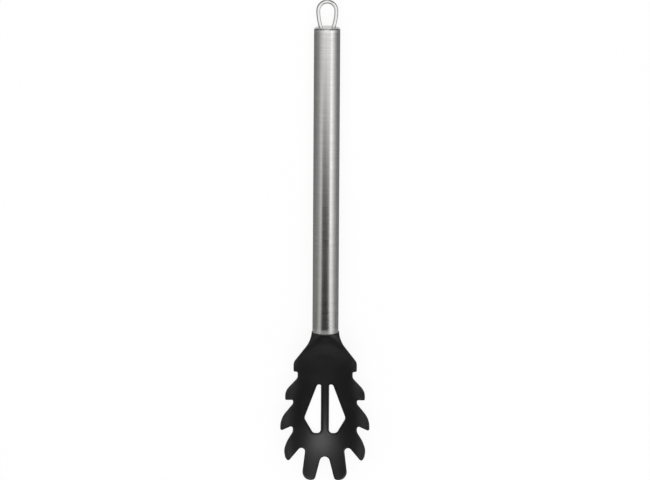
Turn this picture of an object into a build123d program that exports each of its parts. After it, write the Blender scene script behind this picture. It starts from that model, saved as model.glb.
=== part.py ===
from build123d import *
import os
from math import asin, atan2, cos, degrees, radians, sin, tan

# A pasta server: a toothed, slotted moulded head on a closed steel tube with a wire hanging loop.
# It lies on its back: +Y runs from the head to the loop, +Z is up, and Z = 0 is the table.
# All lengths are in millimetres and all angles in degrees.

# Handle tube
tube_diameter = 19.0
tube_wall = 0.7
tube_length = 223.0
tube_lip_radius = 0.3

# End cap, pressed from sheet, with a skirt inside the tube
cap_sheet = 0.8
cap_height = 2.4
cap_land = 0.05
cap_corner_radius = 0.6
cap_skirt_length = 5.0
cap_fit_gap = 0.05

# Ground seam between the tube and the cap
seam_depth = 0.4
seam_half_width = 0.35

# Hanging loop of round wire, whose legs pass through the cap
wire_diameter = 2.9
loop_radius = 6.5
loop_centre_height = 14.5
leg_arc_radius = 38.0
leg_stand = 0.7
leg_tail = 3.4
leg_hole_gap = 0.1
bead_throat = 1.0

# Head: its collar, its outline as the mould sees it, and its bowl
collar_step = 0.5
head_length = 109.0
head_width = 65.5
bowl_depth = 23.6
bowl_wall = 3.2
rim_wall = 2.4
rim_rise = 10.0
rim_margin = 4.0
collar_margin = 0.2
rib_width = 6.15
front_edge_radius = 0.4
back_edge_radius = 0.4
slot_front_radius = 1.7
slot_back_radius = 0.7
mould_angle = 11.2

# Curves: how full the bowl's sections are, how far their control points lie past the curve's
# middle, and the pull that brings a cubic closest to an arc
bowl_fullness_share = 0.62
belly_share = 4 / 3
arc_pull_share = 4 / 3

# Plug of the head inside the tube, and the adhesive in its grooves
plug_length = 44.0
plug_fit_gap = 0.1
plug_core_diameter = 8.0
plug_core_length = 34.0
plug_lead_in = 1.0
groove_depth = 0.9
groove_width = 3.5
groove_pitch = 9.0
groove_count = 4
groove_start = 7.0

# Reach of a cut past the face that it starts from, and of the mould's draw either way
cut_overrun = 6.0
draw_reach = 60.0

# Stations of the bowl from the collar to past the tip. Each row has the share of the head's
# length, of the flare from collar to full width, of the rim's rise, of the drop from collar to
# full depth, of the neck's thickness that is left, and of the bowl's wall along the draw.
section_shares = [
    (0.000, 0.00, 0.00, 0.00, 1.000, 1.00),
    (0.030, 0.05, 0.00, 0.01, 0.960, 1.00),
    (0.074, 0.13, 0.02, 0.03, 0.820, 1.00),
    (0.185, 0.51, 0.09, 0.19, 0.280, 1.00),
    (0.314, 0.73, 0.17, 0.54, 0.070, 1.00),
    (0.462, 0.91, 0.27, 0.86, 0.000, 1.00),
    (0.610, 1.02, 0.37, 1.00, 0.000, 1.00),
    (0.758, 0.99, 0.52, 0.84, 0.000, 1.06),
    (0.887, 0.78, 0.68, 0.31, 0.000, 1.20),
    (0.998, 0.46, 0.87, -0.47, 0.000, 1.32),
    (1.090, 0.20, 1.05, -1.12, 0.000, 1.40),
]

# Right half of the toothed outline from the neck to the middle notch. Each row has the share of
# half the head's width, of the head's length, and of the shorter run that the corner's arc takes.
outline_shares = [
    (0.709, 0.2045, 0.28),
    (0.709, 0.270, 0.46),
    (0.617, 0.270, 0.36),
    (0.617, 0.311, 0.32),
    (0.894, 0.399, 0.55),
    (0.894, 0.4615, 0.21),
    (0.719, 0.4615, 0.36),
    (0.719, 0.4865, 0.33),
    (1.000, 0.588, 0.62),
    (1.000, 0.671, 0.22),
    (0.721, 0.6355, 0.48),
    (0.721, 0.678, 0.30),
    (0.851, 0.7395, 0.38),
    (0.918, 0.796, 0.44),
    (0.887, 0.850, 0.44),
    (0.816, 0.8745, 0.48),
    (0.413, 0.7365, 0.43),
    (0.522, 1.000, 0.70),
    (0.222, 1.000, 0.24),
]
neck_corner_shares = (0.0505, 0.60)
middle_notch_shares = (0.7465, 0.49)

# Right-hand slot beside the middle rib, in the same three shares. Its first and last corners lie
# on the rib's edge, so they have no share of the width.
slot_shares = [
    (0.174, 0.358, 0.44),
    (0.463, 0.586, 0.13),
    (0.264, 0.687, 0.31),
]
slot_top_shares = (0.358, 0.39)
slot_foot_shares = (0.687, 0.45)

# Sizes worked out from the ones above
tube_radius = tube_diameter / 2
bore_radius = tube_radius - tube_wall
collar_radius = tube_radius + collar_step
wire_radius = wire_diameter / 2
head_half = head_width / 2
cap_top = tube_length + cap_height
cap_ceiling = cap_top - cap_sheet
cap_shoulder_radius = cap_height - seam_half_width - cap_land
skirt_radius = bore_radius - cap_fit_gap
skirt_bore = skirt_radius - cap_sheet
plug_radius = bore_radius - plug_fit_gap

# How it lies: the back of the bowl and the lower edge of the tube's end both touch the table
deepest_share = max(section_shares, key=lambda row: row[3])[0]
lie_run = tube_length + deepest_share * head_length
lie_angle = degrees(atan2(bowl_depth - tube_radius, lie_run))
lie_sin = sin(radians(lie_angle))
lie_cos = cos(radians(lie_angle))
mould_sin = sin(radians(lie_angle + mould_angle))
mould_cos = cos(radians(lie_angle + mould_angle))

# Centre of the tube's open end, placed so that the whole server is centred on the origin
tip_reach = head_length / cos(radians(mould_angle))
loop_reach = tube_length + loop_centre_height + loop_radius + wire_radius
neck_y = (tip_reach - loop_reach) / 2 * lie_cos
neck_z = tube_length * lie_sin + tube_radius * lie_cos
neck_point = Vector(0, neck_y, neck_z)
handle_direction = Vector(0, lie_cos, -lie_sin)
front_direction = Vector(0, lie_sin, lie_cos)
mould_direction = Vector(0, mould_sin, mould_cos)
across = Vector(1, 0, 0)
handle_axis = Axis(neck_point, handle_direction)
mould_axis = Axis(neck_point, mould_direction)

# Planes: across the neck, along the handle's middle, and across the mould's draw
neck_plane = Plane(neck_point, x_dir=across, z_dir=-handle_direction)
handle_plane = Plane(neck_point, x_dir=across, z_dir=front_direction)
mould_plane = Plane(neck_point, x_dir=across, z_dir=mould_direction)

# Loop's legs: the turn of the slow arcs, and where the straight tails begin
loop_centre_y = tube_length + loop_centre_height
leg_drop = loop_centre_height - cap_height - leg_stand
leg_turn = degrees(asin(leg_drop / leg_arc_radius))
leg_sin = sin(radians(leg_turn))
leg_cos = cos(radians(leg_turn))
bead_start = leg_tail - (leg_stand + cap_sheet + bead_throat) / leg_cos


def leg_arc_centre(side):
    """Centre of the slow arc of one leg, on the handle's middle plane."""
    return (side * (loop_radius - leg_arc_radius), loop_centre_y)


def leg_bend_point(side):
    """Point where the slow arc of one leg ends and its straight tail begins."""
    centre_x, centre_y = leg_arc_centre(side)
    return (centre_x + side * leg_arc_radius * leg_cos, centre_y - leg_arc_radius * leg_sin)


def leg_tail_point(side):
    """End of one leg's straight tail, inside the cap."""
    bend_x, bend_y = leg_bend_point(side)
    return (bend_x - side * leg_tail * leg_sin, bend_y - leg_tail * leg_cos)


def leg_plane(side):
    """Plane across the end of one leg, facing up the leg."""
    tail = handle_plane.from_local_coords(Vector(*leg_tail_point(side)))
    bend = handle_plane.from_local_coords(Vector(*leg_bend_point(side)))
    return Plane(tail, z_dir=bend - tail)


def corner_bend(before, corner, after, round_share):
    """Control points of the curve that rounds one corner, as close to an arc as a cubic can be."""
    to_before = before - corner
    to_after = after - corner
    reach = round_share * min(to_before.length, to_after.length)
    quarter_turn = radians(180 - to_before.get_angle(to_after)) / 4
    pull = arc_pull_share * tan(quarter_turn) / tan(2 * quarter_turn)
    start = corner + to_before.normalized() * reach
    end = corner + to_after.normalized() * reach
    return start, start + (corner - start) * pull, end + (corner - end) * pull, end


def outline_points():
    """Corners and round shares of the whole toothed outline, from the right of the neck round."""
    neck_length_share, neck_round_share = neck_corner_shares
    right = [
        (collar_radius, cut_overrun, 0),
        (collar_radius, -neck_length_share * head_length, neck_round_share),
    ]
    for width_share, length_share, round_share in outline_shares:
        right.append((width_share * head_half, -length_share * head_length, round_share))
    notch_length_share, notch_round_share = middle_notch_shares
    middle = [(0, -notch_length_share * head_length, notch_round_share)]
    left = [(-x, y, round_share) for x, y, round_share in reversed(right)]
    return right + middle + left


def slot_points(side):
    """Corners and round shares of one slot. Side is 1 on the right and -1 on the left."""
    top_length_share, top_round_share = slot_top_shares
    foot_length_share, foot_round_share = slot_foot_shares
    corners = [(side * rib_width / 2, -top_length_share * head_length, top_round_share)]
    for width_share, length_share, round_share in slot_shares:
        corners.append((side * width_share * head_half, -length_share * head_length, round_share))
    corners.append((side * rib_width / 2, -foot_length_share * head_length, foot_round_share))
    return corners


def rounded_outline(corners):
    """Closed line of straight runs and rounded corners, drawn in the open line builder."""
    points = [Vector(x, y) for x, y, round_share in corners]
    shares = [round_share for x, y, round_share in corners]
    bends = []
    for index, point in enumerate(points):
        after = points[(index + 1) % len(points)]
        bends.append(corner_bend(points[index - 1], point, after, shares[index]))
    for index, bend in enumerate(bends):
        Line(bends[index - 1][-1], bend[0])
        if shares[index] > 0:
            Bezier(*bend)


os.makedirs("parts", exist_ok=True)

# Handle tube, chamfered at its far end for the seam and with a rounded lip at the neck
with BuildPart() as handle_tube:
    with BuildSketch(handle_plane):
        with BuildLine():
            Polyline(
                (bore_radius, 0),
                (tube_radius, 0),
                (tube_radius, tube_length - seam_half_width),
                (tube_radius - seam_depth, tube_length),
                (bore_radius, tube_length),
                close=True,
            )
        make_face()
    revolve(axis=handle_axis)
    neck_face = handle_tube.faces().sort_by(handle_axis)[0]
    fillet(neck_face.outer_wire().edges(), radius=tube_lip_radius)
handle_tube.part.label = "handle_tube"
export_step(handle_tube.part, "parts/handle_tube.step")

# End cap: a flat crown with a round shoulder, a rim on the tube's end and a skirt in its bore
cap_profile = [
    (0, cap_top, 0),
    (tube_radius, cap_top, cap_shoulder_radius),
    (tube_radius, tube_length + seam_half_width, 0),
    (tube_radius - seam_depth, tube_length, 0),
    (skirt_radius, tube_length, 0),
    (skirt_radius, tube_length - cap_skirt_length, 0),
    (skirt_bore, tube_length - cap_skirt_length, 0),
    (skirt_bore, cap_ceiling, cap_corner_radius),
    (0, cap_ceiling, 0),
]
with BuildPart() as end_cap:
    with BuildSketch(handle_plane):
        with BuildLine():
            profile_points = [(x, y) for x, y, corner_radius in cap_profile]
            profile_radii = [corner_radius for x, y, corner_radius in cap_profile]
            FilletPolyline(*profile_points, radius=profile_radii, close=True)
        make_face()
    revolve(axis=handle_axis)
    for side in (1, -1):
        with BuildSketch(leg_plane(side)):
            Circle(wire_radius + leg_hole_gap)
        extrude(amount=leg_tail + leg_stand, mode=Mode.SUBTRACT)
end_cap.part.label = "end_cap"
export_step(end_cap.part, "parts/end_cap.step")

# Seam: weld metal in the groove between the two chamfers, ground flush with the tube
with BuildPart() as cap_seam:
    with BuildSketch(handle_plane):
        with BuildLine():
            Polyline(
                (tube_radius, tube_length - seam_half_width),
                (tube_radius, tube_length + seam_half_width),
                (tube_radius - seam_depth, tube_length),
                close=True,
            )
        make_face()
    revolve(axis=handle_axis)
cap_seam.part.label = "cap_seam"
export_step(cap_seam.part, "parts/cap_seam.step")

# Hanging loop: a half circle, two slow arcs that draw the legs in, and two straight tails
with BuildPart() as hanging_loop:
    with BuildLine(handle_plane) as loop_line:
        Line(leg_tail_point(1), leg_bend_point(1))
        CenterArc(leg_arc_centre(1), leg_arc_radius, -leg_turn, leg_turn)
        CenterArc((0, loop_centre_y), loop_radius, 0, 180)
        CenterArc(leg_arc_centre(-1), leg_arc_radius, 180, leg_turn)
        Line(leg_bend_point(-1), leg_tail_point(-1))
    with BuildSketch(leg_plane(1)):
        Circle(wire_radius)
    sweep(path=loop_line.wire())
hanging_loop.part.label = "hanging_loop"
export_step(hanging_loop.part, "parts/hanging_loop.step")

# Loop welds: a bead round each leg under the cap's crown
with BuildPart() as loop_welds:
    for side in (1, -1):
        with BuildSketch(leg_plane(side).offset(bead_start)):
            Circle(wire_radius)
        with BuildSketch(leg_plane(side).offset(bead_start + bead_throat)):
            Circle(wire_radius + bead_throat)
        loft()
        with BuildSketch(leg_plane(side).offset(bead_start + bead_throat)):
            Circle(wire_radius + bead_throat)
        extrude(amount=leg_stand + cap_sheet)
        with BuildSketch(leg_plane(side)):
            Circle(wire_radius)
        extrude(amount=leg_tail + leg_stand, mode=Mode.SUBTRACT)
    split(bisect_by=neck_plane.offset(-cap_ceiling), keep=Keep.TOP)
loop_welds.part.label = "loop_welds"
export_step(loop_welds.part, "parts/loop_welds.step")

# Head: the bowl's blank is lofted through its stations and trimmed to the toothed outline
with BuildPart() as pasta_head:
    for row in section_shares:
        length_share, flare_share, rise_share, drop_share, neck_share, wall_share = row
        station = length_share * head_length
        inner_half = collar_radius + collar_margin + (head_half + rim_margin - collar_radius) * flare_share
        outer_half = inner_half + collar_margin + rim_wall * (1 - neck_share)
        rim = rim_rise * rise_share
        back = -collar_radius - (bowl_depth - collar_radius) * drop_share
        wall = bowl_wall * wall_share
        floor = back + wall + (2 * collar_radius - wall) * neck_share
        fullness = 1 - (1 - bowl_fullness_share) * flare_share
        front_pull = rim + (floor - rim) * belly_share
        back_pull = rim + (back - rim) * belly_share
        with BuildSketch(neck_plane.offset(station)):
            with BuildLine():
                Bezier(
                    (inner_half, rim),
                    (inner_half * fullness, front_pull),
                    (-inner_half * fullness, front_pull),
                    (-inner_half, rim),
                )
                Line((-inner_half, rim), (-outer_half, rim))
                Bezier(
                    (-outer_half, rim),
                    (-outer_half * fullness, back_pull),
                    (outer_half * fullness, back_pull),
                    (outer_half, rim),
                )
                Line((outer_half, rim), (inner_half, rim))
            make_face()
    loft()

    # Toothed outline and slots, cut along the mould's draw
    with BuildSketch(mould_plane.offset(-draw_reach)):
        with BuildLine():
            rounded_outline(outline_points())
        make_face()
    extrude(amount=2 * draw_reach, mode=Mode.INTERSECT)
    with BuildSketch(mould_plane.offset(-draw_reach)):
        for side in (1, -1):
            with BuildLine():
                rounded_outline(slot_points(side))
            make_face()
    extrude(amount=2 * draw_reach, mode=Mode.SUBTRACT)

    # Rounded rims and slot edges. The bowl's front and back are the two largest faces
    for side_index, edge_radius in ((-1, front_edge_radius), (0, back_edge_radius)):
        bowl_faces = pasta_head.faces().sort_by(SortBy.AREA)[-2:].sort_by(mould_axis)
        outer_edges = bowl_faces[side_index].outer_wire().edges()
        rim_end = -draw_reach - head_length
        rim_edges = outer_edges.filter_by_position(handle_axis, rim_end, -collar_margin)
        fillet(rim_edges, edge_radius)
    for side_index, edge_radius in ((-1, slot_front_radius), (0, slot_back_radius)):
        bowl_faces = pasta_head.faces().sort_by(SortBy.AREA)[-2:].sort_by(mould_axis)
        slot_wires = bowl_faces[side_index].inner_wires()
        fillet([edge for slot_wire in slot_wires for edge in slot_wire.edges()], edge_radius)

    # Plug inside the tube, cored from its end, with grooves for the adhesive
    with BuildSketch(neck_plane):
        Circle(plug_radius)
    extrude(amount=-plug_length)
    with BuildSketch(neck_plane.offset(-plug_length)):
        Circle(plug_core_diameter / 2)
    extrude(amount=plug_core_length, mode=Mode.SUBTRACT)
    for index in range(groove_count):
        with BuildSketch(neck_plane.offset(-groove_start - index * groove_pitch)):
            Circle(bore_radius)
            Circle(plug_radius - groove_depth, mode=Mode.SUBTRACT)
        extrude(amount=-groove_width, mode=Mode.SUBTRACT)
    plug_end = pasta_head.faces().sort_by(handle_axis)[-1]
    chamfer(plug_end.outer_wire().edges(), length=plug_lead_in)
pasta_head.part.label = "pasta_head"
export_step(pasta_head.part, "parts/pasta_head.step")

# Bonding resin: a ring in each groove of the plug, out to the tube's bore
with BuildPart() as bonding_resin:
    for index in range(groove_count):
        with BuildSketch(neck_plane.offset(-groove_start - index * groove_pitch)):
            Circle(bore_radius)
            Circle(plug_radius - groove_depth, mode=Mode.SUBTRACT)
        extrude(amount=-groove_width)
bonding_resin.part.label = "bonding_resin"
export_step(bonding_resin.part, "parts/bonding_resin.step")
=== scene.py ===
import math

import bpy
from mathutils import Matrix, Vector

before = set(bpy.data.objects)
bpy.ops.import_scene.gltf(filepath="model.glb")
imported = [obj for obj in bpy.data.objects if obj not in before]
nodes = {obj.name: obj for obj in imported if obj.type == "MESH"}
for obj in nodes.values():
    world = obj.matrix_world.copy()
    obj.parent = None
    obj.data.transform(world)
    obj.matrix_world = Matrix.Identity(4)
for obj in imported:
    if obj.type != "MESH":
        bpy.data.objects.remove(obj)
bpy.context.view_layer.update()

# Driving sizes of the server, in metres: +Y runs from the head to the loop and the floor is at zero
TUBE_RADIUS = 0.0095
TUBE_LENGTH = 0.223
LOOP_LENGTH = 0.02245
HEAD_LENGTH = 0.109
BOWL_DEPTH = 0.0236
DEEPEST_SHARE = 0.61
MOULD_ANGLE = math.radians(11.2)

# How it lies: the handle slopes down from the neck to the loop, and the mould's draw leans from upright
LIE = math.atan2(BOWL_DEPTH - TUBE_RADIUS, TUBE_LENGTH + DEEPEST_SHARE * HEAD_LENGTH)
DRAW = LIE + MOULD_ANGLE
ALONG = Vector((0.0, math.cos(LIE), -math.sin(LIE)))
FRONT = Vector((0.0, math.sin(LIE), math.cos(LIE)))
TIP_REACH = HEAD_LENGTH / math.cos(MOULD_ANGLE)
LOOP_REACH = TUBE_LENGTH + LOOP_LENGTH
NECK_Y = (TIP_REACH - LOOP_REACH) / 2 * math.cos(LIE)
NECK_Z = TUBE_LENGTH * math.sin(LIE) + TUBE_RADIUS * math.cos(LIE)
NECK = Vector((0.0, NECK_Y, NECK_Z))

# Camera: a long lens that looks down the mould's draw, with the neck at its place in the picture.
# The lean to one side is in radians and the sensor in millimetres.
PICTURE_WIDTH = 650
PICTURE_HEIGHT = 480
NECK_COLUMN = 325.4
NECK_ROW = 332.1
METRES_PER_PIXEL = 0.0007306
CAMERA_DISTANCE = 4.0
CAMERA_LEAN = 0.0058
CAMERA_REACH = 100.0
SENSOR_WIDTH = 36.0


def make_camera():
    look = Vector((0.0, math.sin(DRAW), math.cos(DRAW)))
    up = Vector((0.0, math.cos(DRAW), -math.sin(DRAW)))
    side = Vector((1.0, 0.0, 0.0))
    right = side * math.cos(CAMERA_LEAN) + up * math.sin(CAMERA_LEAN)
    top = up * math.cos(CAMERA_LEAN) - side * math.sin(CAMERA_LEAN)
    columns = NECK_COLUMN - PICTURE_WIDTH / 2
    rows = NECK_ROW - PICTURE_HEIGHT / 2
    aim = NECK - (right * columns - top * rows) * METRES_PER_PIXEL
    data = bpy.data.cameras.new("camera")
    data.sensor_width = SENSOR_WIDTH
    data.lens = CAMERA_DISTANCE * SENSOR_WIDTH / (PICTURE_WIDTH * METRES_PER_PIXEL)
    data.clip_end = CAMERA_REACH
    camera = bpy.data.objects.new("camera", data)
    bpy.context.scene.collection.objects.link(camera)
    turn = Matrix((right, top, look)).transposed().to_4x4()
    camera.matrix_world = Matrix.Translation(aim + look * CAMERA_DISTANCE) @ turn
    bpy.context.scene.camera = camera


make_camera()


# Helpers for node materials. Noises mostly lie in the wide range, and blends of them in the narrow one
UNIT = (0.0, 1.0)
WIDE_RANGE = (0.3, 0.7)
NARROW_RANGE = (0.35, 0.65)


def new_material(name, kind="ShaderNodeBsdfPrincipled"):
    """Material of one shader, with its node tree and that shader."""
    material = bpy.data.materials.new(name)
    material.use_nodes = True
    tree = material.node_tree
    tree.nodes.clear()
    shader = tree.nodes.new(kind)
    output = tree.nodes.new("ShaderNodeOutputMaterial")
    tree.links.new(shader.outputs[0], output.inputs[0])
    return material, tree, shader


def add(tree, kind, **settings):
    """New node with some of its own settings."""
    node = tree.nodes.new(kind)
    for key, value in settings.items():
        setattr(node, key, value)
    return node


def put(node, name, value):
    """Set one input of a node to a constant, or link another node's output to it."""
    if isinstance(value, bpy.types.NodeSocket):
        node.id_data.links.new(value, node.inputs[name])
    else:
        node.inputs[name].default_value = value


def maths(tree, operation, *values):
    node = add(tree, "ShaderNodeMath", operation=operation)
    for index, value in enumerate(values):
        put(node, index, value)
    return node.outputs[0]


def vector_maths(tree, operation, *values):
    node = add(tree, "ShaderNodeVectorMath", operation=operation)
    for index, value in enumerate(values):
        put(node, index, value)
    gives_number = operation in ("DOT_PRODUCT", "LENGTH")
    return node.outputs["Value" if gives_number else "Vector"]


def blend(tree, first, second, share):
    """Two values mixed, with the given share of the second."""
    part = maths(tree, "MULTIPLY", first, 1 - share)
    return maths(tree, "ADD", part, maths(tree, "MULTIPLY", second, share))


def spread(tree, value, source, target):
    """Value carried from one range to another, and held at its ends."""
    node = add(tree, "ShaderNodeMapRange")
    put(node, "Value", value)
    put(node, "From Min", source[0])
    put(node, "From Max", source[1])
    put(node, "To Min", target[0])
    put(node, "To Max", target[1])
    return node.outputs["Result"]


def tint(tree, value, source, colours):
    """Colour between a dark and a light one, as the value goes through a range."""
    ramp = add(tree, "ShaderNodeValToRGB")
    for mark, position, colour in zip(ramp.color_ramp.elements, source, colours):
        mark.position = position
        mark.color = (*colour, 1.0)
    put(ramp, "Fac", value)
    return ramp.outputs["Color"]


def ramp_level(tree, value, stops):
    """Level that follows a list of (value, level) stops."""
    low, high = stops[0][0], stops[-1][0]
    top = max(level for start, level in stops)
    ramp = add(tree, "ShaderNodeValToRGB")
    marks = ramp.color_ramp.elements
    while len(marks) < len(stops):
        marks.new(0.5)
    for mark, (start, level) in zip(marks, stops):
        grey = level / top
        mark.position = (start - low) / (high - low)
        mark.color = (grey, grey, grey, 1.0)
    put(ramp, "Fac", spread(tree, value, (low, high), UNIT))
    return maths(tree, "MULTIPLY", ramp.outputs["Color"], top)


def object_place(tree):
    return add(tree, "ShaderNodeTexCoord").outputs["Object"]


def split(tree, vector):
    """The coordinates of a vector, by the names X, Y and Z."""
    node = add(tree, "ShaderNodeSeparateXYZ")
    put(node, "Vector", vector)
    return node.outputs


def noise(tree, vector, **inputs):
    node = add(tree, "ShaderNodeTexNoise")
    put(node, "Vector", vector)
    for name, value in inputs.items():
        put(node, name, value)
    return node.outputs["Fac"]


def bump(tree, height, strength, distance, normal=None):
    node = add(tree, "ShaderNodeBump")
    put(node, "Height", height)
    put(node, "Strength", strength)
    put(node, "Distance", distance)
    if normal is not None:
        put(node, "Normal", normal)
    return node.outputs["Normal"]


def handle_place(tree):
    """Millimetres from the neck along the handle, to its side and to its front."""
    millimetres = 1000.0
    from_neck = vector_maths(tree, "SUBTRACT", object_place(tree), NECK)
    along = vector_maths(tree, "DOT_PRODUCT", from_neck, ALONG * millimetres)
    front = vector_maths(tree, "DOT_PRODUCT", from_neck, FRONT * millimetres)
    side = maths(tree, "MULTIPLY", split(tree, from_neck)["X"], millimetres)
    return along, side, front


def streaks(tree, place, fine, wide, detail, slope=0.0):
    """Noise drawn out round the tube: fine marks per mm along the handle and wide ones round it."""
    along, side, front = place
    slanted = maths(tree, "ADD", along, maths(tree, "MULTIPLY", side, slope))
    join = add(tree, "ShaderNodeCombineXYZ")
    put(join, "X", maths(tree, "MULTIPLY", slanted, fine))
    put(join, "Y", maths(tree, "MULTIPLY", side, wide))
    put(join, "Z", maths(tree, "MULTIPLY", front, wide))
    return noise(tree, join.outputs[0], Scale=1.0, Detail=detail, Roughness=0.6)


def rounded_edges(tree, radius, share, samples):
    """Normal that leans over toward each edge, as on a generously rounded moulding, and its lean."""
    soft = add(tree, "ShaderNodeBevel", samples=samples)
    put(soft, "Radius", radius)
    flat = add(tree, "ShaderNodeNewGeometry").outputs["Normal"]
    lean = vector_maths(tree, "SUBTRACT", soft.outputs["Normal"], flat)
    normal = vector_maths(tree, "MULTIPLY_ADD", lean, (share, share, share), flat)
    return vector_maths(tree, "NORMALIZE", normal), vector_maths(tree, "LENGTH", lean)


# Handle: steel brushed round the tube, with a painted highlight over a few millimetres at the neck, where
# it is made partly non-metal
STEEL_COLOURS = ((0.55, 0.545, 0.535), (0.68, 0.675, 0.665))
STEEL_ROUGHNESS = (0.265, 0.385)
NECK_HIGHLIGHT_BAND = (2.2, 4.0)
NECK_HIGHLIGHT_METALLIC = (0.72, 1.0)


def brushed_steel():
    material, tree, shader = new_material("brushed_steel")
    place = handle_place(tree)
    hair = streaks(tree, place, fine=3.2, wide=0.05, detail=4.0)
    line = streaks(tree, place, fine=1.3, wide=0.04, detail=2.0)
    band = streaks(tree, place, fine=0.45, wide=0.02, detail=3.0)
    cloud = streaks(tree, place, fine=0.03, wide=0.03, detail=2.0)
    grain = blend(tree, hair, band, share=0.4)
    mark = blend(tree, line, cloud, share=0.3)
    along = place[0]
    axis = add(tree, "ShaderNodeCombineXYZ")
    for name, value in zip("XYZ", ALONG):
        put(axis, name, value)
    put(shader, "Base Color", tint(tree, grain, WIDE_RANGE, STEEL_COLOURS))
    # Painted highlight: less metallic near the neck, so that the tube's end shows paler, standing in for
    # light caught on its rounded end
    put(shader, "Metallic", spread(tree, along, NECK_HIGHLIGHT_BAND, NECK_HIGHLIGHT_METALLIC))
    put(shader, "Roughness", spread(tree, mark, NARROW_RANGE, STEEL_ROUGHNESS))
    put(shader, "Anisotropic", 0.8)
    put(shader, "Tangent", axis.outputs[0])
    put(shader, "Normal", bump(tree, hair, strength=0.12, distance=0.00004))
    return material


# Cap and seam: the same steel, hand polished with slanting marks
CAP_COLOURS = ((0.56, 0.555, 0.55), (0.74, 0.735, 0.73))
CAP_ROUGHNESS = (0.22, 0.38)


def polished_cap():
    material, tree, shader = new_material("polished_cap")
    place = handle_place(tree)
    rising = streaks(tree, place, fine=2.2, wide=0.06, detail=4.0, slope=0.7)
    falling = streaks(tree, place, fine=1.2, wide=0.05, detail=3.0, slope=-0.5)
    grain = blend(tree, rising, falling, share=0.4)
    put(shader, "Base Color", tint(tree, grain, WIDE_RANGE, CAP_COLOURS))
    put(shader, "Metallic", 1.0)
    put(shader, "Roughness", spread(tree, grain, WIDE_RANGE, CAP_ROUGHNESS))
    put(shader, "Normal", bump(tree, grain, strength=0.3, distance=0.00006))
    return material


# Loop and its welds: polished wire with faint draw marks
WIRE_COLOURS = ((0.62, 0.62, 0.61), (0.70, 0.70, 0.69))
WIRE_ROUGHNESS = (0.07, 0.15)


def polished_wire():
    material, tree, shader = new_material("polished_wire")
    mark = streaks(tree, handle_place(tree), fine=0.9, wide=0.9, detail=3.0)
    put(shader, "Base Color", tint(tree, mark, WIDE_RANGE, WIRE_COLOURS))
    put(shader, "Metallic", 1.0)
    put(shader, "Roughness", spread(tree, mark, WIDE_RANGE, WIRE_ROUGHNESS))
    put(shader, "Normal", bump(tree, mark, strength=0.08, distance=0.00005))
    return material


# Head: satin black nylon with a fine spark texture, faint flow marks, and a painted highlight that makes
# the rims paler
NYLON_COLOURS = ((0.0055, 0.0055, 0.0058), (0.048, 0.048, 0.050))
NYLON_ROUGHNESS = (0.27, 0.36)
MARK_PALENESS = 0.15
RIM_HIGHLIGHT_PALENESS = 0.85
PALE_RANGE = (0.05, 0.95)
RIM_RADIUS = 0.0014
RIM_HIGHLIGHT_LEAN = (0.10, 0.55)


def black_nylon():
    material, tree, shader = new_material("black_nylon")
    place = object_place(tree)
    spark = noise(tree, place, Scale=2600.0, Detail=3.0, Roughness=0.65)
    flow = noise(tree, place, Scale=60.0, Detail=3.0, Distortion=0.6)
    mark = blend(tree, spark, flow, share=0.55)
    edge, lean = rounded_edges(tree, RIM_RADIUS, share=3.0, samples=12)
    # Painted highlight: the base colour turns paler where the edge normal leans over, standing in for light
    # caught on the rounded rims
    painted_rim_highlight = spread(tree, lean, RIM_HIGHLIGHT_LEAN, (0.0, RIM_HIGHLIGHT_PALENESS))
    mottle_and_rim_highlight = maths(tree, "ADD", maths(tree, "MULTIPLY", mark, MARK_PALENESS), painted_rim_highlight)
    put(shader, "Base Color", tint(tree, mottle_and_rim_highlight, PALE_RANGE, NYLON_COLOURS))
    put(shader, "Roughness", spread(tree, mark, NARROW_RANGE, NYLON_ROUGHNESS))
    put(shader, "Specular IOR Level", 0.5)
    put(shader, "IOR", 1.5)
    put(shader, "Normal", bump(tree, spark, strength=0.15, distance=0.00005, normal=edge))
    return material


# Cured adhesive, inside the handle
RESIN_COLOURS = ((0.42, 0.31, 0.15), (0.58, 0.46, 0.27))
RESIN_ROUGHNESS = (0.25, 0.45)


def cured_resin():
    material, tree, shader = new_material("cured_resin")
    cloud = noise(tree, object_place(tree), Scale=900.0, Detail=4.0)
    put(shader, "Base Color", tint(tree, cloud, WIDE_RANGE, RESIN_COLOURS))
    put(shader, "Roughness", spread(tree, cloud, WIDE_RANGE, RESIN_ROUGHNESS))
    return material


def dress(name, material):
    piece = nodes[name]
    piece.data.materials.clear()
    piece.data.materials.append(material)


cap = polished_cap()
wire = polished_wire()
dress("handle_tube", brushed_steel())
dress("end_cap", cap)
dress("cap_seam", cap)
dress("hanging_loop", wire)
dress("loop_welds", wire)
dress("pasta_head", black_nylon())
dress("bonding_resin", cured_resin())


# Helpers for the stage
def flat_card(name, low, high, material):
    """A flat card between its low and its high corner, which have one coordinate in common."""
    first, second = [axis for axis in range(3) if low[axis] != high[axis]]
    corners = [list(low) for corner in range(4)]
    for corner in (1, 2):
        corners[corner][first] = high[first]
    for corner in (2, 3):
        corners[corner][second] = high[second]
    mesh = bpy.data.meshes.new(name)
    mesh.from_pydata(corners, [], [(0, 1, 2, 3)])
    mesh.materials.append(material)
    card = bpy.data.objects.new(name, mesh)
    bpy.context.scene.collection.objects.link(card)
    return card


def only_in_reflections(thing):
    thing.visible_camera = False
    thing.visible_diffuse = False
    thing.visible_shadow = False


def glow_material(name, strength):
    material, tree, shader = new_material(name, "ShaderNodeEmission")
    put(shader, "Strength", strength)
    return material


def seen_rays(tree):
    """1 for what the camera sees, straight or in a reflection, and 0 for the light on the object."""
    path = add(tree, "ShaderNodeLightPath")
    seen = maths(tree, "MAXIMUM", path.outputs["Is Camera Ray"], path.outputs["Is Glossy Ray"])
    return maths(tree, "MAXIMUM", seen, path.outputs["Is Transmission Ray"])


# Floor: pale where it is seen, with the server's soft shadow
FLOOR_HALF = 6.0
FLOOR_Z = -0.0006
FLOOR_GREY = 0.12
FLOOR_GLOW = 0.90


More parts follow.
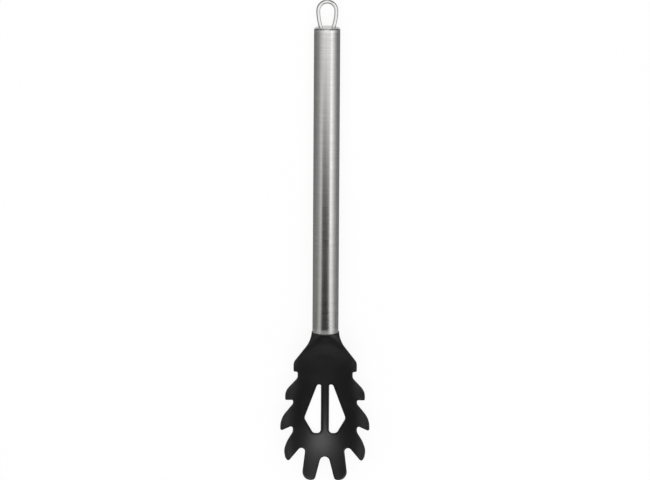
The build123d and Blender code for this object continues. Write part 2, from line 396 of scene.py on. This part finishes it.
def floor_material():
    material, tree, shader = new_material("floor", "ShaderNodeAddShader")
    base = add(tree, "ShaderNodeBsdfDiffuse")
    put(base, "Color", (FLOOR_GREY, FLOOR_GREY, FLOOR_GREY, 1.0))
    glow = add(tree, "ShaderNodeEmission")
    put(glow, "Strength", maths(tree, "MULTIPLY", seen_rays(tree), FLOOR_GLOW))
    put(shader, 0, base.outputs[0])
    put(shader, 1, glow.outputs[0])
    return material


flat_card("floor", (-FLOOR_HALF, -FLOOR_HALF, FLOOR_Z), (FLOOR_HALF, FLOOR_HALF, FLOOR_Z), floor_material())

# Grey card just over the floor that only reflections see, for the steel's dark edges. It goes darker
# under the loop.
GREY_HALF = 0.25
GREY_LOW_Y = -0.075
GREY_HIGH_Y = 0.40
GREY_Z = -0.0003
GREY_STEP_Y = (0.158, 0.168)
GREY_LEVELS = (0.31, 0.14)


def grey_card():
    material, tree, shader = new_material("grey_card", "ShaderNodeBsdfDiffuse")
    run = split(tree, object_place(tree))["Y"]
    put(shader, "Color", spread(tree, run, GREY_STEP_Y, GREY_LEVELS))
    low = (-GREY_HALF, GREY_LOW_Y, GREY_Z)
    high = (GREY_HALF, GREY_HIGH_Y, GREY_Z)
    only_in_reflections(flat_card("grey_card", low, high, material))


grey_card()

# Reflector arch over the handle, bright down both sides and dark along its top, that only reflections
# see. Its stops are degrees round from the top and strengths, and it fades out over the head.
ARCH_RADIUS = 0.40
ARCH_LOW_Y = -0.17
ARCH_HIGH_Y = 0.50
ARCH_TURN = 94.0
ARCH_STEPS = 96
ARCH_FADE_Y = (-0.12, -0.02)
ARCH_FADE_LEVELS = (0.75, 1.0)
ARCH_STOPS = [
    (-100, 0.15), (-86, 0.26), (-64, 0.54), (-46, 0.88), (-39, 0.90), (-32, 0.16), (-24, 0.04), (-8, 0.03),
    (6, 0.03), (14, 0.08), (23, 0.40), (32, 1.45), (38, 1.75), (56, 1.12), (66, 0.85), (77, 0.62),
    (88, 0.32), (100, 0.20),
]


def turn_round_handle(tree, axis_z):
    """Degrees round from the top, about an axis along Y at the given height."""
    place = split(tree, object_place(tree))
    rise = maths(tree, "SUBTRACT", place["Z"], axis_z)
    return maths(tree, "DEGREES", maths(tree, "ARCTAN2", place["X"], rise))


def arch_material():
    material, tree, shader = new_material("reflector_arch", "ShaderNodeEmission")
    level = ramp_level(tree, turn_round_handle(tree, 0.0), ARCH_STOPS)
    run = split(tree, object_place(tree))["Y"]
    fade = spread(tree, run, ARCH_FADE_Y, ARCH_FADE_LEVELS)
    put(shader, "Strength", maths(tree, "MULTIPLY", level, fade))
    return material


def reflector_arch():
    verts, faces = [], []
    for index in range(ARCH_STEPS + 1):
        turn = math.radians(ARCH_TURN * (2 * index / ARCH_STEPS - 1))
        for y in (ARCH_LOW_Y, ARCH_HIGH_Y):
            verts.append((ARCH_RADIUS * math.sin(turn), y, ARCH_RADIUS * math.cos(turn)))
        if index:
            last = 2 * index
            faces.append((last - 2, last - 1, last + 1, last))
    mesh = bpy.data.meshes.new("reflector_arch")
    mesh.from_pydata(verts, [], faces)
    mesh.materials.append(arch_material())
    arch = bpy.data.objects.new("reflector_arch", mesh)
    bpy.context.scene.collection.objects.link(arch)
    only_in_reflections(arch)


reflector_arch()

# Dome of plain soft light round the whole stage
DOME_RADIUS = 2.0
DOME_TILT = 91.0
DOME_RINGS = 24
DOME_TURNS = 64
DOME_STRENGTH = 0.30


def light_dome():
    verts, faces = [(0.0, 0.0, DOME_RADIUS)], []
    for ring in range(1, DOME_RINGS + 1):
        tilt = math.radians(DOME_TILT) * ring / DOME_RINGS
        reach = DOME_RADIUS * math.sin(tilt)
        height = DOME_RADIUS * math.cos(tilt)
        for index in range(DOME_TURNS):
            turn = math.tau * index / DOME_TURNS
            verts.append((reach * math.cos(turn), reach * math.sin(turn), height))
    for index in range(DOME_TURNS):
        after = (index + 1) % DOME_TURNS
        faces.append((0, 1 + index, 1 + after))
        for ring in range(1, DOME_RINGS):
            start = 1 + (ring - 1) * DOME_TURNS
            below = start + DOME_TURNS
            faces.append((start + index, below + index, below + after, start + after))
    mesh = bpy.data.meshes.new("light_dome")
    mesh.from_pydata(verts, [], faces)
    mesh.materials.append(glow_material("light_dome", DOME_STRENGTH))
    dome = bpy.data.objects.new("light_dome", mesh)
    bpy.context.scene.collection.objects.link(dome)
    dome.visible_camera = False


light_dome()

# Plain light from above, which no reflection shows
PLAIN_HALF = 0.9
PLAIN_Z = 1.5
PLAIN_STRENGTH = 2.0


def plain_light():
    low = (-PLAIN_HALF, -PLAIN_HALF, PLAIN_Z)
    high = (PLAIN_HALF, PLAIN_HALF, PLAIN_Z)
    plain = flat_card("plain_light", low, high, glow_material("plain_light", PLAIN_STRENGTH))
    plain.visible_camera = False
    plain.visible_glossy = False


plain_light()

# Fill card close over the upper half of the handle and the loop, lit further down along its sides.
# Its stops are metres along Y and strengths. Two plain cards carry it on past the loop and down.
FILL_LOW_X = -0.090
FILL_HIGH_X = 0.062
FILL_LOW_Y = -0.010
FILL_HIGH_Y = 0.195
FILL_Z = 0.14
FILL_MIDDLE_X = -0.03
FILL_SLANT = 0.45
FILL_STOPS = [
    (-0.01, 0.03), (0.035, 0.05), (0.065, 0.28), (0.10, 0.66), (0.125, 1.00), (0.16, 1.25), (0.195, 1.25),
]
BEYOND_HIGH_Y = 0.42
BEYOND_STRENGTH = 1.15


def fill_material():
    material, tree, shader = new_material("fill_card", "ShaderNodeEmission")
    place = split(tree, object_place(tree))
    aside = maths(tree, "ABSOLUTE", maths(tree, "SUBTRACT", place["X"], FILL_MIDDLE_X))
    run = maths(tree, "ADD", place["Y"], maths(tree, "MULTIPLY", aside, FILL_SLANT))
    put(shader, "Strength", ramp_level(tree, run, FILL_STOPS))
    return material


def fill_cards():
    beyond = glow_material("beyond", BEYOND_STRENGTH)
    near = (FILL_LOW_X, FILL_LOW_Y, FILL_Z)
    edge = (FILL_LOW_X, FILL_HIGH_Y, FILL_Z)
    foot = (FILL_LOW_X, BEYOND_HIGH_Y, 0.0)
    only_in_reflections(flat_card("fill_card", near, (FILL_HIGH_X, FILL_HIGH_Y, FILL_Z), fill_material()))
    for name, low in (("far_card", edge), ("tail_card", foot)):
        only_in_reflections(flat_card(name, low, (FILL_HIGH_X, BEYOND_HIGH_Y, FILL_Z), beyond))


fill_cards()

# Small bright card on the floor below the cap, for the cap's face and its lower shoulder
CAP_CARD_HALF = 0.016
CAP_CARD_LOW_Y = 0.1565
CAP_CARD_HIGH_Y = 0.1745
CAP_CARD_Z = -0.0002
CAP_CARD_STRENGTH = 0.85


def cap_card():
    low = (-CAP_CARD_HALF, CAP_CARD_LOW_Y, CAP_CARD_Z)
    high = (CAP_CARD_HALF, CAP_CARD_HIGH_Y, CAP_CARD_Z)
    only_in_reflections(flat_card("cap_card", low, high, glow_material("cap_card", CAP_CARD_STRENGTH)))


cap_card()

# Booth over the head alone: a wall across the neck, a roof and two sides. All are painted by the way
# they lie from the bowl: a soft bright lobe, whose stops are degrees of pitch and strengths, and a
# bright edge low at both sides.
BOOTH_HALF = 0.25
BOOTH_FAR_Y = -0.9005
BOOTH_WALL_Y = -0.0755
BOOTH_FOOT = 0.002
BOOTH_TOP = 0.2
BOWL = Vector((0.0, -0.143, 0.004))
LOBE_TURN = 6.5
LOBE_WIDTH = 14.0
PITCH_STOPS = [
    (-90, 0.40), (-60, 0.18), (-40, 0.20), (-20, 0.30), (-10, 0.60), (0, 0.90), (12, 1.60), (25, 2.80),
    (36, 2.80), (48, 1.60), (54, 0.75), (62, 0.40), (75, 0.15), (90, 0.10),
]
SIDE_TURN = (66.0, 84.0)
SIDE_LEVELS = (0.10, 1.3)

# Wall across the neck that only the handle's side sees, with stops as on the arch, and the gap that
# both walls leave for the neck
END_WALL_Y = -0.0745
END_WALL_AXIS_Z = 0.02
NECK_GAP_HALF = 0.016
NECK_GAP_TOP = 0.036
WALL_STOPS = [
    (-100, 0.14), (-86, 0.20), (-64, 0.42), (-52, 0.60), (-44, 0.55), (-36, 0.08), (-24, 0.03), (0, 0.02),
    (22, 0.03), (30, 0.10), (38, 0.80), (46, 1.10), (56, 0.90), (66, 0.68), (77, 0.48), (88, 0.26),
    (100, 0.16),
]


def booth_material():
    material, tree, shader = new_material("booth", "ShaderNodeEmission")
    from_bowl = vector_maths(tree, "SUBTRACT", object_place(tree), BOWL)
    way = split(tree, vector_maths(tree, "NORMALIZE", from_bowl))
    turn = maths(tree, "DEGREES", maths(tree, "ARCTAN2", way["X"], way["Z"]))
    pitch = maths(tree, "DEGREES", maths(tree, "ARCSINE", way["Y"]))
    off = maths(tree, "DIVIDE", maths(tree, "SUBTRACT", turn, LOBE_TURN), LOBE_WIDTH)
    bell = maths(tree, "EXPONENT", maths(tree, "MULTIPLY", maths(tree, "MULTIPLY", off, off), -0.5))
    lobe = maths(tree, "MULTIPLY", ramp_level(tree, pitch, PITCH_STOPS), bell)
    sides = spread(tree, maths(tree, "ABSOLUTE", turn), SIDE_TURN, SIDE_LEVELS)
    put(shader, "Strength", maths(tree, "ADD", lobe, sides))
    return material


def end_wall_material():
    material, tree, shader = new_material("end_wall", "ShaderNodeEmission")
    put(shader, "Strength", ramp_level(tree, turn_round_handle(tree, END_WALL_AXIS_Z), WALL_STOPS))
    return material


def neck_wall(name, y, material):
    """Wall across the neck in three parts: over the neck, and down beside it on the left and right."""
    parts = [
        (-NECK_GAP_HALF, NECK_GAP_TOP, NECK_GAP_HALF),
        (-BOOTH_HALF, BOOTH_FOOT, -NECK_GAP_HALF),
        (NECK_GAP_HALF, BOOTH_FOOT, BOOTH_HALF),
    ]
    for index, (low_x, low_z, high_x) in enumerate(parts):
        wall = flat_card(f"{name}_{index}", (low_x, y, low_z), (high_x, y, BOOTH_TOP), material)
        only_in_reflections(wall)


def head_booth():
    booth = booth_material()
    neck_wall("booth_wall", BOOTH_WALL_Y, booth)
    neck_wall("end_wall", END_WALL_Y, end_wall_material())
    far_top = (-BOOTH_HALF, BOOTH_FAR_Y, BOOTH_TOP)
    near_top = (BOOTH_HALF, BOOTH_WALL_Y, BOOTH_TOP)
    only_in_reflections(flat_card("booth_roof", far_top, near_top, booth))
    for name, x in (("booth_left", -BOOTH_HALF), ("booth_right", BOOTH_HALF)):
        side = flat_card(name, (x, BOOTH_FAR_Y, BOOTH_FOOT), (x, BOOTH_WALL_Y, BOOTH_TOP), booth)
        only_in_reflections(side)


head_booth()

# World: white where it is seen, and half as bright as light on the object
WORLD_LIGHT = 0.5


def make_world():
    world = bpy.data.worlds.new("world")
    bpy.context.scene.world = world
    world.use_nodes = True
    tree = world.node_tree
    tree.nodes.clear()
    sky = add(tree, "ShaderNodeBackground")
    output = add(tree, "ShaderNodeOutputWorld")
    put(sky, "Color", (1.0, 1.0, 1.0, 1.0))
    put(sky, "Strength", spread(tree, seen_rays(tree), UNIT, (WORLD_LIGHT, 1.0)))
    put(output, "Surface", sky.outputs[0])


make_world()

bpy.context.scene.view_settings.view_transform = "Standard"
